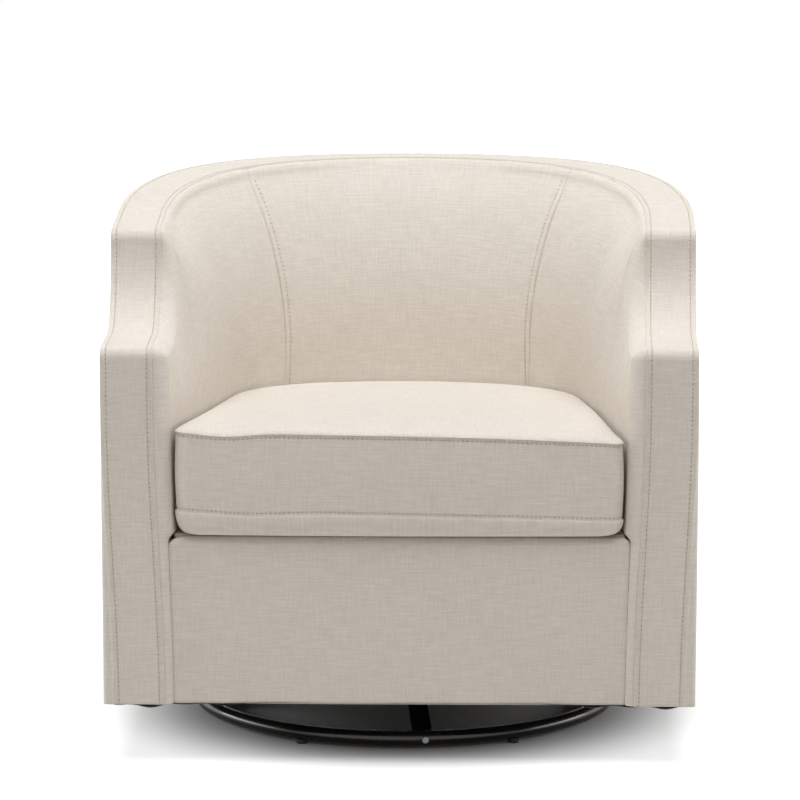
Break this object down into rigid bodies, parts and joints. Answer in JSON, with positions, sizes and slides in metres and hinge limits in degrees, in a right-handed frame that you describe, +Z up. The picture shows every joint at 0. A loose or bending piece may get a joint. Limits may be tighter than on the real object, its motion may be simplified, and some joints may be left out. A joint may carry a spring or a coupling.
{
  "type": "swivel barrel chair",
  "caption": "Upholstered barrel chair with a round back, stepped arms and a loose seat cushion, turning on a steel ring base.",
  "frame": {"origin": "on the floor, on the swivel axis, under the middle of the chair", "axes": "+Z up, +Y to the back of the chair, +X to the viewer's right when facing its front"},
  "size_m": [0.76, 0.742, 0.704],
  "materials": {
    "ring_steel": "dark bronze gloss enamel",
    "hardware_steel": "zinc plated",
    "bearing_steel": "polished",
    "glide_plastic": "moulded, matt",
    "hardwood": "sawn, unfinished",
    "plywood": "sawn, unfinished",
    "spring_steel": "oiled wire",
    "upholstery": "plain linen-look weave, matt",
    "cushion_fabric": "plain linen-look weave, matt",
    "deck_cloth": "plain cloth over foam",
    "foam": "open cell foam",
    "dust_cloth": "black spun cloth, matt",
    "zip_tape": "woven tape"
  },
  "bodies": {
    "base": {"base_ring": "ring_steel", "base_spokes": "ring_steel", "spoke_screws": "hardware_steel", "ring_glides": "glide_plastic", "swivel_lower_plate": "hardware_steel", "lower_race": "bearing_steel", "bearing_balls": "bearing_steel", "ball_cage": "hardware_steel", "king_pin": "hardware_steel", "king_pin_washer": "hardware_steel", "king_pin_nut": "hardware_steel"},
    "chair": {"upper_race": "bearing_steel", "swivel_upper_plate": "hardware_steel", "plate_bolts": "hardware_steel", "tee_nuts": "hardware_steel", "cross_rails": "hardwood", "bottom_front_rail": "hardwood", "bottom_back_rail": "hardwood", "bottom_side_rails": "hardwood", "corner_blocks": "hardwood", "front_posts": "hardwood", "arm_panel_left": "plywood", "arm_panel_right": "plywood", "back_lower_rail": "plywood", "back_middle_rail": "plywood", "back_top_rail": "plywood", "back_slats": "hardwood", "seat_front_rail": "hardwood", "seat_back_rail": "hardwood", "seat_side_rails": "hardwood", "seat_springs": "spring_steel", "spring_clips": "hardware_steel", "spring_tie_wires": "spring_steel", "seat_deck": "deck_cloth", "inside_back": "upholstery", "inside_wing_left": "upholstery", "inside_wing_right": "upholstery", "outside_back": "upholstery", "outside_arm_left": "upholstery", "outside_arm_right": "upholstery", "band_back": "upholstery", "band_left": "upholstery", "band_right": "upholstery", "front_apron": "upholstery", "dust_cover": "dust_cloth"},
    "cushion": {"cushion_cover": "cushion_fabric", "cushion_foam": "foam", "cushion_zipper": "zip_tape", "zip_slider": "hardware_steel"}
  },
  "joints": [
    {"name": "swivel", "type": "hinge", "parent": "base", "child": "chair", "pos_m": [0, 0, 0.0705], "axis": [0, 0, 1], "continuous": true},
    {"name": "cushion_lift", "type": "slide", "parent": "chair", "child": "cushion", "axis": [0, 0, 1], "range_m": [0, 0.35]}
  ]
}
